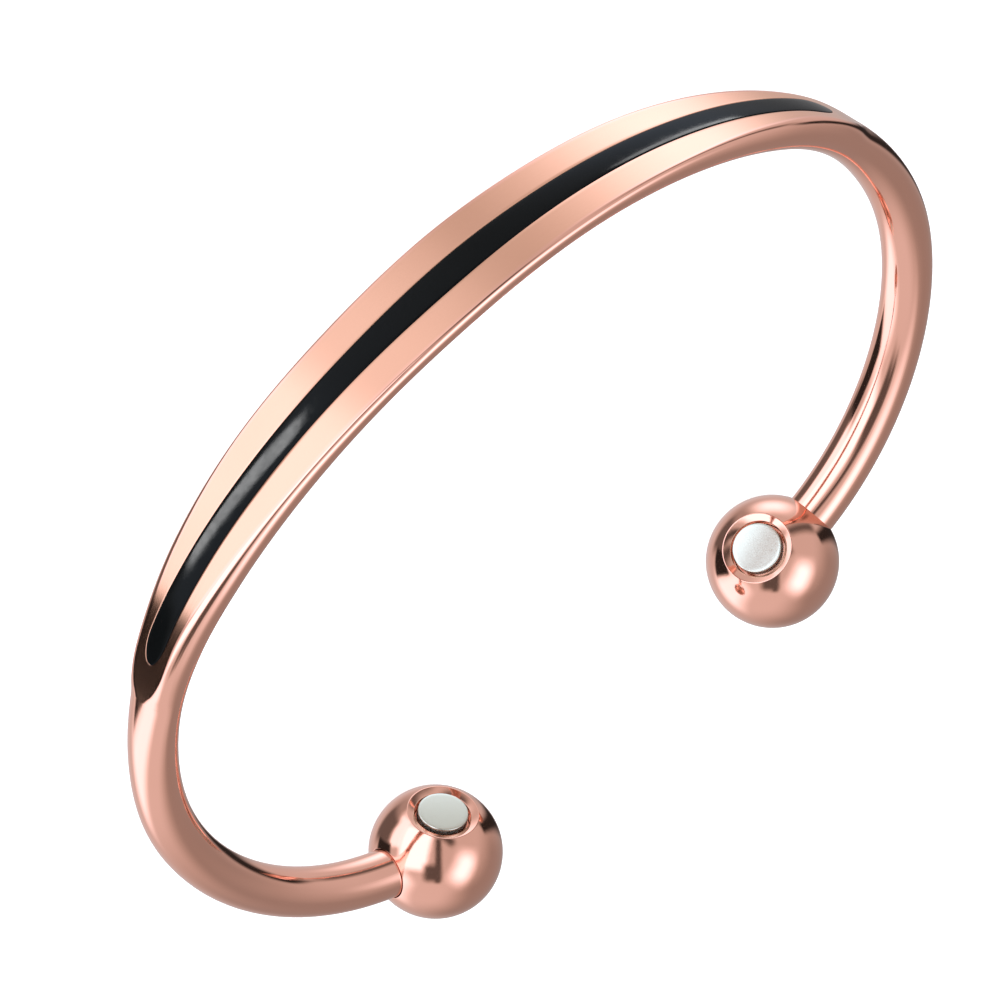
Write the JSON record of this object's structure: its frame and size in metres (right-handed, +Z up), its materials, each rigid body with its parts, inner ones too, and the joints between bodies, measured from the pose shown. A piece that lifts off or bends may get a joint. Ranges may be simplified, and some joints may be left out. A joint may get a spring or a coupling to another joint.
{
  "type": "copper torque bangle",
  "caption": "Open copper bangle: a broad flat-faced band with a black enamel line runs out into round rods that end in balls set with magnets.",
  "frame": {"origin": "under the middle of the bangle's box, on the surface that it lies on", "axes": "+X from the left ball to the right ball, +Y from the balls towards the band, +Z up, across the width of the band"},
  "size_m": [0.0684, 0.0484, 0.009],
  "materials": {
    "polished_copper": "polished rose-coloured copper, satin on the band's face",
    "black_enamel": "gloss black enamel",
    "nickel_plate": "pale nickel plate"
  },
  "bodies": {
    "root": {"bangle_bar": "polished_copper", "inlay_strip": "black_enamel", "ball_left": "polished_copper", "ball_right": "polished_copper", "magnet_left": "nickel_plate", "magnet_right": "nickel_plate"}
  },
  "joints": []
}
